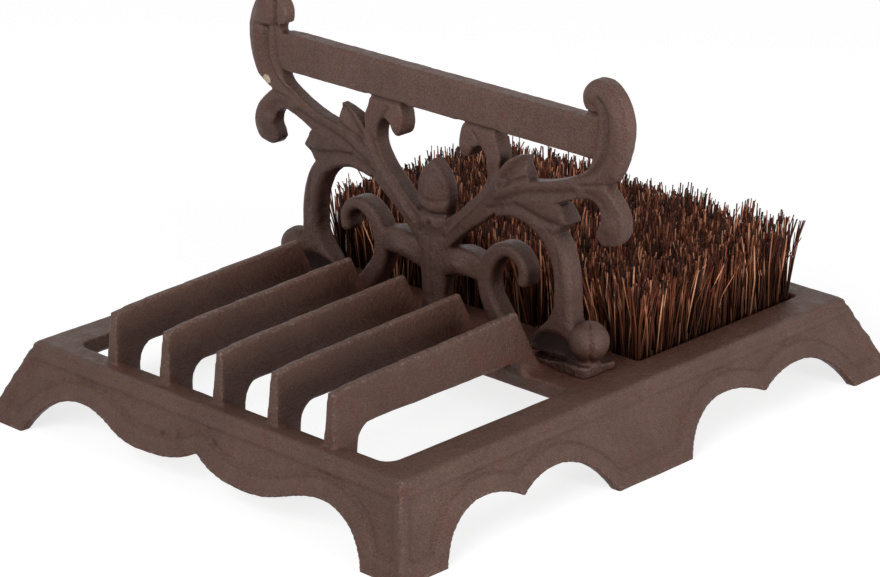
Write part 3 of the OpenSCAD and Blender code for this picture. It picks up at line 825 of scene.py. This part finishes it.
def bristle_mesh():
    """Thousands of thin strands in tufts, each with its own lean, length and shade."""
    high = box_mm("bristles")[1]
    block_low, block_high = box_mm("brush_block")
    rng = np.random.default_rng(STRAND_SEED)
    columns, rows = np.meshgrid(np.arange(TUFT_COLUMNS), np.arange(TUFT_ROWS))
    cell = (block_high[:2] - block_low[:2]) / [TUFT_COLUMNS, TUFT_ROWS]
    tufts = block_low[:2] + (np.stack([columns.ravel(), rows.ravel()], axis=1) + 0.5) * cell
    tuft_lean = rng.normal(0, TUFT_LEAN, tufts.shape)
    tuft_height = rng.normal(0, TUFT_UNEVEN, len(tufts))
    count = len(tufts) * STRANDS_IN_TUFT
    tuft = np.repeat(np.arange(len(tufts)), STRANDS_IN_TUFT)
    offset = rng.uniform(-0.5, 0.5, (count, 2)) * cell * TUFT_FILL
    root = tufts[tuft] + offset * ROOT_SHARE
    spread = (tufts[tuft] - tufts.mean(0)) / (np.ptp(tufts, axis=0) / 2)
    outward = np.sign(spread) * np.abs(spread) ** BORDER_POWER * BORDER_LEAN
    lean = tuft_lean[tuft] + rng.normal(0, STRAND_LEAN, (count, 2)) + outward
    lean = lean + offset * (TIP_SHARE - ROOT_SHARE)
    stray = rng.random(count) < STRAY_SHARE
    lean[stray] *= STRAY_LEAN
    lean = np.clip(root + lean, block_low[:2] - TIP_REACH, block_high[:2] + TIP_REACH) - root
    length = high[2] - block_high[2] - TIP_DROP + tuft_height[tuft] + rng.normal(0, STRAND_UNEVEN, count)
    bow = rng.normal(0, STRAND_BOW, (count, 2))
    radius = rng.uniform(*STRAND_RADIUS, count)

    # Rings of corners at a few heights, and a cap on the tip
    heights = np.array(RING_HEIGHTS)
    turn = rng.uniform(0, math.tau / STRAND_SIDES, count)
    rings = []
    for t in heights:
        centre = root + lean * t ** LEAN_POWER + bow * math.sin(math.pi * t)
        thick = (radius * (1 - STRAND_TAPER * t))[:, None]
        for k in range(STRAND_SIDES):
            angle = turn + k * math.tau / STRAND_SIDES
            rim = thick * np.stack([np.cos(angle), np.sin(angle)], axis=1)
            rings.append(np.concatenate([centre + rim, (block_high[2] + length * t)[:, None]], axis=1))
    vertices = np.stack(rings, axis=1)
    per = vertices.shape[1]
    cap = per - STRAND_SIDES
    triangles = [[cap, cap + k, cap + k + 1] for k in range(1, STRAND_SIDES - 1)]
    for level in range(len(heights) - 1):
        for k in range(STRAND_SIDES):
            a = level * STRAND_SIDES + k
            b = level * STRAND_SIDES + (k + 1) % STRAND_SIDES
            triangles += [[a, b, b + STRAND_SIDES], [a, b + STRAND_SIDES, a + STRAND_SIDES]]
    faces = (np.arange(count)[:, None, None] * per + np.array(triangles)[None]).reshape(-1, 3)
    mesh = new_mesh("bristles", vertices.reshape(-1, 3), faces)
    store(mesh, "shade", np.repeat(rng.random(count), per))
    store(mesh, "along", np.tile(np.repeat(heights, STRAND_SIDES), count))
    return mesh


# Materials

# Coating of each casting: its pale and deep tones, and the tint of the painted shade where it is sheltered
BASE_TONES = ((0.108, 0.0585, 0.0435), (0.089, 0.0475, 0.035), (0.74, 0.52, 0.46))
UPRIGHT_TONES = ((0.124, 0.066, 0.052), (0.104, 0.055, 0.043), (0.48, 0.34, 0.30))
IRON_GLOSS = 0.25
IRON_ROUGHNESS = (0.40, 0.56)
# Painted shade from ambient occlusion: how far it looks, how many rays it casts, and where it fades
OCCLUSION_SHADE_REACH = 0.07
OCCLUSION_SHADE_SAMPLES = 8
OCCLUSION_SHADE_FADE = (0.25, 1.0)

# Patches on the coating: scale and detail of their noise, and the values between which they fade in
DULL_PATCHES = (220.0, 3.0, 0.3, 0.7)
MOTTLE = (38.0, 4.0, 0.35, 0.68)
RUST_PATCHES = (110.0, 3.0, 0.52, 0.72)
SPECKS = (800.0, 3.0, 0.50, 0.64)

# What lies over the coating, rust and wear with painted shade and painted highlight among it: colours, how
# much of each shows, and the bend or height where it fades
RUST = (0.110, 0.040, 0.026)
RUST_SHARE = 0.35
# Painted shade in concave corners and creases
CORNER_SHADE = (0.026, 0.011, 0.008)
CORNER_SHADE_SHARE = 0.5
CORNER_SHADE_BEND = (-0.10, -0.42)
# Wear and a painted highlight on convex edges, in specks
WORN_HIGHLIGHT = (0.22, 0.165, 0.145)
WORN_HIGHLIGHT_SHARE = 0.6
WORN_HIGHLIGHT_BEND = (0.16, 0.44)
# Painted shade in the pocket of each leg's flare
POCKET_SHADE = (0.010, 0.0055, 0.0042)
POCKET_SHADE_SHARE = 0.85
# Painted shade over the lower part of the upright, and the height where it fades
LOW_SHADE = (0.69, 0.66, 0.65)
LOW_SHADE_HEIGHT = (0.100, 0.128)

# One chip in the coating, with a ragged edge
CHIP_COLOUR = (0.55, 0.45, 0.33)
CHIP_SIZE = 0.0036
CHIP_EDGE = 1.25
CHIP_NOISE = (700.0, 2.0)
CHIP_PLACE = (-0.0985, -0.0098, 0.124)

# Sand grain and the coarser roughness below it: noise, tones and depth
GRAIN = (1500.0, 2.0, 0.6)
GRAIN_FADE = (0.3, 0.7)
GRAIN_TONES = ((0.55, 0.55, 0.55), (1.4, 1.4, 1.4))
GRAIN_SHARE = 0.7
GRAIN_DEPTH = 0.00034
COARSE = (420.0, 3.0)
COARSE_DEPTH = 0.00055

# Fibre: tones of dark, brown and light strands, the painted shade at their roots, the tint of their tips,
# and where each fades in
FIBRE_DARK = (0.020, 0.0042, 0.0016)
FIBRE_BROWN = (0.21, 0.058, 0.024)
FIBRE_LIGHT = (0.92, 0.43, 0.235)
# Painted shade at the roots of the strands
ROOT_SHADE = (0.010, 0.003, 0.0015)
BROWN_FADE = (0.10, 0.70)
LIGHT_FADE = (0.70, 1.0)
ROOT_SHADE_FADE = (0.12, 0.90)
ROOT_SHADE_SHARE = 0.80
TIP_FADE = (0.75, 1.0)
TIP_TINT = (0.60, 0.55, 0.58)
FIBRE_GLOSS = 0.15
FIBRE_PATCHES = (500.0, 3.0, 0.3, 0.7)
FIBRE_ROUGHNESS = (0.42, 0.6)

# Noise along the strands: scale, detail, roughness and stretch
STREAKS = (700.0, 2.0, 0.55, (1.0, 1.0, 0.15))
STREAK_FADE = (0.35, 0.7, 0.7, 1.25)
STREAK_TONES = ((0.6, 0.6, 0.6), (1.1, 1.1, 1.1))
FINE_LINES = (2500.0, 2.0, 0.55, (1.0, 1.0, 0.2))
LINE_DEPTH = 0.00008

# Beech of the block: its tones, and noise along its grain
BEECH_DEEP = (0.20, 0.105, 0.05)
BEECH_PALE = (0.33, 0.20, 0.10)
BEECH_GRAIN = (120.0, 5.0, 0.6, (0.08, 1.0, 1.0))
BEECH_FADE = (0.35, 0.65)
BEECH_ROUGHNESS = (0.3, 0.7, 0.55, 0.7)
FLECK_TONE = (0.12, 0.055, 0.025)
FLECKS = (900.0, 2.0, 0.5, (0.12, 1.0, 1.0))
FLECK_FADE = (0.55, 0.7)
FLECK_SHARE = 0.5
FLECK_DEPTH = 0.0002

# Zinc on the fasteners
ZINC_DULL = (0.42, 0.42, 0.40)
ZINC_BRIGHT = (0.60, 0.60, 0.58)
ZINC_CLOUD = (400.0, 3.0)
ZINC_FADE = (0.35, 0.7)
ZINC_ROUGHNESS = (0.3, 0.7, 0.28, 0.5)
SCRATCHES = (3000.0, 2.0)
SCRATCH_DEPTH = 0.00003


class Shader:
    """A node material, built one node at a time."""

    def __init__(self, name):
        self.material = bpy.data.materials.new(name)
        self.material.use_nodes = True
        self.tree = self.material.node_tree
        self.surface = self.tree.nodes["Principled BSDF"]
        self.place = self.add("ShaderNodeTexCoord").outputs["Object"]

    def add(self, kind, **settings):
        node = self.tree.nodes.new(kind)
        for key, value in settings.items():
            setattr(node, key, value)
        return node

    def link(self, out, socket):
        self.tree.links.new(out, socket)

    def fill(self, sockets, values):
        """Links or sets one socket after the other, a colour with full opacity."""
        for socket, value in zip(sockets, values):
            if isinstance(value, bpy.types.NodeSocket):
                self.link(value, socket)
            elif isinstance(value, tuple):
                socket.default_value = (*value, 1.0)
            else:
                socket.default_value = value

    def noise(self, scale, detail=3.0, roughness=0.55, stretch=None):
        node = self.add("ShaderNodeTexNoise")
        node.inputs["Scale"].default_value = scale
        node.inputs["Detail"].default_value = detail
        node.inputs["Roughness"].default_value = roughness
        place = self.place
        if stretch:
            mapping = self.add("ShaderNodeMapping")
            mapping.inputs["Scale"].default_value = stretch
            self.link(place, mapping.inputs["Vector"])
            place = mapping.outputs["Vector"]
        self.link(place, node.inputs["Vector"])
        return node.outputs["Fac"]

    def range(self, value, low, high, to_low=0.0, to_high=1.0):
        node = self.add("ShaderNodeMapRange", interpolation_type="SMOOTHSTEP")
        self.fill(node.inputs, (value, low, high, to_low, to_high))
        return node.outputs["Result"]

    def patches(self, scale, detail, low, high, to_low=0.0, to_high=1.0):
        return self.range(self.noise(scale, detail), low, high, to_low, to_high)

    def mix(self, factor, one, two, blend="MIX"):
        node = self.add("ShaderNodeMix", data_type="RGBA", blend_type=blend)
        self.fill((node.inputs[0], node.inputs[6], node.inputs[7]), (factor, one, two))
        return node.outputs[2]

    def math(self, operation, *values):
        node = self.add("ShaderNodeMath", operation=operation)
        self.fill(node.inputs, values)
        return node.outputs[0]

    def times(self, one, two):
        return self.math("MULTIPLY", one, two)

    def attribute(self, name):
        return self.add("ShaderNodeAttribute", attribute_name=name).outputs["Fac"]

    def bump(self, height, distance, below=None):
        node = self.add("ShaderNodeBump")
        node.inputs["Distance"].default_value = distance
        self.link(height, node.inputs["Height"])
        if below is not None:
            self.link(below, node.inputs["Normal"])
        return node.outputs["Normal"]

    def done(self, colour, roughness, normal):
        """The material, once its surface has these."""
        for name, out in (("Base Color", colour), ("Roughness", roughness), ("Normal", normal)):
            self.link(out, self.surface.inputs[name])
        return self.material


def iron(name, pale, deep, shade_tint, chip=None):
    """Rust-brown coating on sand-cast iron, worn on its edges with a painted highlight there, and with
    painted shade in its corners and where it is sheltered.

    With a place for a chip it also has painted shade low down and in its pockets.
    """
    s = Shader(name)
    s.surface.inputs["Specular IOR Level"].default_value = IRON_GLOSS
    dullness = s.patches(*DULL_PATCHES, *IRON_ROUGHNESS)
    colour = s.mix(s.patches(*MOTTLE), deep, pale)
    colour = s.mix(s.times(s.patches(*RUST_PATCHES), RUST_SHARE), colour, RUST)
    bend = s.attribute("bend")
    # Painted shade darkens the concave corners and creases
    corner = s.range(bend, *CORNER_SHADE_BEND)
    colour = s.mix(s.times(corner, CORNER_SHADE_SHARE), colour, CORNER_SHADE)
    # Wear and a painted highlight lighten the convex edges in specks
    edge = s.times(s.range(bend, *WORN_HIGHLIGHT_BEND), s.patches(*SPECKS))
    colour = s.mix(s.times(edge, WORN_HIGHLIGHT_SHARE), colour, WORN_HIGHLIGHT)
    grain = s.noise(*GRAIN)
    tone = s.mix(s.range(grain, *GRAIN_FADE), *GRAIN_TONES)
    colour = s.mix(GRAIN_SHARE, colour, tone, "MULTIPLY")
    # Painted shade: the colour takes the tint where ambient occlusion finds nearby parts
    occlusion = s.add("ShaderNodeAmbientOcclusion", samples=OCCLUSION_SHADE_SAMPLES)
    occlusion.inputs["Distance"].default_value = OCCLUSION_SHADE_REACH
    unoccluded_part = s.range(occlusion.outputs["AO"], *OCCLUSION_SHADE_FADE)
    colour = s.mix(unoccluded_part, s.mix(1.0, colour, shade_tint, "MULTIPLY"), colour)
    if chip:
        # Painted shade: the colour is darker below a height
        height = s.add("ShaderNodeSeparateXYZ")
        s.link(s.place, height.inputs[0])
        above_low_shade = s.range(height.outputs["Z"], *LOW_SHADE_HEIGHT)
        colour = s.mix(above_low_shade, s.mix(1.0, colour, LOW_SHADE, "MULTIPLY"), colour)
        # Painted shade darkens the leg's pockets, which are also duller
        pocket_shade = s.attribute("pocket_shade")
        colour = s.mix(s.times(pocket_shade, POCKET_SHADE_SHARE), colour, POCKET_SHADE)
        dullness = s.math("MAXIMUM", dullness, pocket_shade)
        gap = s.add("ShaderNodeVectorMath", operation="DISTANCE")
        s.link(s.place, gap.inputs[0])
        gap.inputs[1].default_value = chip
        ragged = s.math("MULTIPLY_ADD", s.noise(*CHIP_NOISE), CHIP_SIZE, gap.outputs["Value"])
        colour = s.mix(s.range(ragged, CHIP_EDGE * CHIP_SIZE, CHIP_SIZE), colour, CHIP_COLOUR)
    coarse = s.bump(s.noise(*COARSE), COARSE_DEPTH)
    return s.done(colour, dullness, s.bump(grain, GRAIN_DEPTH, coarse))


def fibre():
    """Stiff brown plant fibre: each strand its own brown, with painted shade darkening it towards its
    root.
    """
    s = Shader("bristle_fibre")
    s.surface.inputs["Specular IOR Level"].default_value = FIBRE_GLOSS
    shade = s.attribute("shade")
    colour = s.mix(s.range(shade, *BROWN_FADE), FIBRE_DARK, FIBRE_BROWN)
    colour = s.mix(s.range(shade, *LIGHT_FADE), colour, FIBRE_LIGHT)
    streak = s.range(s.noise(*STREAKS), *STREAK_FADE)
    colour = s.mix(1.0, colour, s.mix(streak, *STREAK_TONES), "MULTIPLY")
    height = s.attribute("along")
    colour = s.mix(s.range(height, *TIP_FADE), colour, s.mix(1.0, colour, TIP_TINT, "MULTIPLY"))
    # Painted shade darkens each strand towards its root
    colour = s.mix(s.range(height, *ROOT_SHADE_FADE), s.mix(ROOT_SHADE_SHARE, colour, ROOT_SHADE), colour)
    roughness = s.patches(*FIBRE_PATCHES, *FIBRE_ROUGHNESS)
    return s.done(colour, roughness, s.bump(s.noise(*FINE_LINES), LINE_DEPTH))


def timber():
    """Plain beech, with grain along the block."""
    s = Shader("block_wood")
    grain = s.noise(*BEECH_GRAIN)
    fleck = s.noise(*FLECKS)
    colour = s.mix(s.range(grain, *BEECH_FADE), BEECH_DEEP, BEECH_PALE)
    colour = s.mix(s.times(s.range(fleck, *FLECK_FADE), FLECK_SHARE), colour, FLECK_TONE)
    return s.done(colour, s.range(grain, *BEECH_ROUGHNESS), s.bump(fleck, FLECK_DEPTH))


def plated_steel():
    """Zinc plated steel with fine scratches and a little dulling."""
    s = Shader("fastener_steel")
    s.surface.inputs["Metallic"].default_value = 1.0
    cloud = s.noise(*ZINC_CLOUD)
    colour = s.mix(s.range(cloud, *ZINC_FADE), ZINC_DULL, ZINC_BRIGHT)
    scratches = s.bump(s.noise(*SCRATCHES), SCRATCH_DEPTH)
    return s.done(colour, s.range(cloud, *ZINC_ROUGHNESS), scratches)


# Stage, light and camera

FLOOR_SIZE = 12.0
FLOOR_COLOUR = 0.80
FLOOR_SEEN = 0.42
FLOOR_LIFT = 0.78
SKY_LIGHT = 0.27

# Lamps: the place, size and power of each, and the point that they look at
LAMPS = {"front": ((0.30, -1.80, 1.30), 1.4, 27.0), "side": ((2.10, 0.08, 0.48), 0.9, 25.0)}
LAMP_TARGET = (0, 0, 0.06)


def seen_ray(tree):
    """1 for rays that reach the eye straight, by a reflection or through glass."""
    path = tree.nodes.new("ShaderNodeLightPath")
    total = path.outputs["Is Camera Ray"]
    for name in ("Is Glossy Ray", "Is Transmission Ray"):
        largest = tree.nodes.new("ShaderNodeMath")
        largest.operation = "MAXIMUM"
        tree.links.new(total, largest.inputs[0])
        tree.links.new(path.outputs[name], largest.inputs[1])
        total = largest.outputs[0]
    return total


def make_floor():
    """A white floor that takes the object's shadow and looks white where nothing shades it."""
    half = FLOOR_SIZE / 2
    corners = [(-half, -half, 0), (half, -half, 0), (half, half, 0), (-half, half, 0)]
    mesh = bpy.data.meshes.new("floor")
    mesh.from_pydata(corners, [], [(0, 1, 2, 3)])
    material = bpy.data.materials.new("floor")
    material.use_nodes = True
    tree = material.node_tree
    surface_node = tree.nodes["Principled BSDF"]
    seen = seen_ray(tree)
    shade = tree.nodes.new("ShaderNodeMapRange")
    shade.inputs["To Min"].default_value = FLOOR_COLOUR
    shade.inputs["To Max"].default_value = FLOOR_SEEN
    tree.links.new(seen, shade.inputs["Value"])
    tree.links.new(shade.outputs["Result"], surface_node.inputs["Base Color"])
    surface_node.inputs["Roughness"].default_value = 1.0
    surface_node.inputs["Specular IOR Level"].default_value = 0.0
    surface_node.inputs["Emission Color"].default_value = (1, 1, 1, 1)
    lift = tree.nodes.new("ShaderNodeMath")
    lift.operation = "MULTIPLY"
    lift.inputs[1].default_value = FLOOR_LIFT
    tree.links.new(seen, lift.inputs[0])
    tree.links.new(lift.outputs[0], surface_node.inputs["Emission Strength"])
    mesh.materials.append(material)
    floor = bpy.data.objects.new("floor", mesh)
    bpy.context.scene.collection.objects.link(floor)


def make_world():
    """A white room: even soft light, and pure white where the background is seen."""
    world = bpy.data.worlds.new("studio")
    world.use_nodes = True
    bpy.context.scene.world = world
    tree = world.node_tree
    background = tree.nodes["Background"]
    background.inputs["Color"].default_value = (1, 1, 1, 1)
    strength = tree.nodes.new("ShaderNodeMapRange")
    strength.inputs["To Min"].default_value = SKY_LIGHT
    strength.inputs["To Max"].default_value = 1.0
    tree.links.new(seen_ray(tree), strength.inputs["Value"])
    tree.links.new(strength.outputs["Result"], background.inputs["Strength"])


def soft_lamp(name, place, size, power):
    """A large square lamp that looks at the object."""
    data = bpy.data.lights.new(name, "AREA")
    data.size = size
    data.energy = power
    lamp = bpy.data.objects.new(name, data)
    lamp.location = place
    lamp.rotation_euler = (Vector(LAMP_TARGET) - Vector(place)).to_track_quat("-Z", "Y").to_euler()
    bpy.context.scene.collection.objects.link(lamp)


def make_camera():
    """The camera at the photograph's place."""
    data = bpy.data.cameras.new("camera")
    data.lens = CAMERA_LENS
    data.sensor_fit = "HORIZONTAL"
    data.sensor_width = SENSOR_WIDTH
    camera = bpy.data.objects.new("camera", data)
    back = Vector(CAMERA_BACK).normalized()
    right = Vector((0, 0, 1)).cross(back).normalized()
    up = back.cross(right)
    turn = Matrix((right, up, back)).transposed().to_4x4()
    camera.matrix_world = Matrix.Translation(CAMERA_PLACE) @ turn
    bpy.context.scene.collection.objects.link(camera)
    bpy.context.scene.camera = camera


make_camera()
make_floor()
make_world()
for lamp_name, settings in LAMPS.items():
    soft_lamp(lamp_name, *settings)
bpy.context.scene.view_settings.view_transform = "Standard"

# Pieces
base_axes, base_body = base_fields()
base_mesh = thinned(new_mesh("base_casting", *surface(base_body, base_axes)))
mark_bend(base_mesh, base_body, base_axes)
base = new_piece("base_casting", base_mesh, iron("base_iron", *BASE_TONES))
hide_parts("rim_frame", "front_apron", "rear_apron", "left_apron", "right_apron",
            *[f"scraper_blade_{i}" for i in range(1, 6)], "front_brush_strap", "rear_brush_strap")

upright_axes, upright_body = upright_fields()
upright_mesh = thinned(new_mesh("upright_casting", *surface(upright_body, upright_axes)))
mark_bend(upright_mesh, upright_body, upright_axes)
mark_pocket_shade(upright_mesh)
upright = new_piece("upright_casting", upright_mesh, iron("upright_iron", *UPRIGHT_TONES, CHIP_PLACE))
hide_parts("top_bar", "centre_bud",
            *[f"{side}_{part}" for side in ("left", "right")
              for part in ("outer_scroll", "inner_scroll", "leg", "volute")])

brush = new_piece("bristle_strands", bristle_mesh(), fibre())
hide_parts("bristles")

steel = plated_steel()
finishes = {
    "brush_block": timber(),
    "upright_bolts": steel,
    "upright_washers": steel,
    "brush_screws": steel,
}
for node, material in finishes.items():
    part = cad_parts[node]
    part.data.materials.clear()
    part.data.materials.append(material)
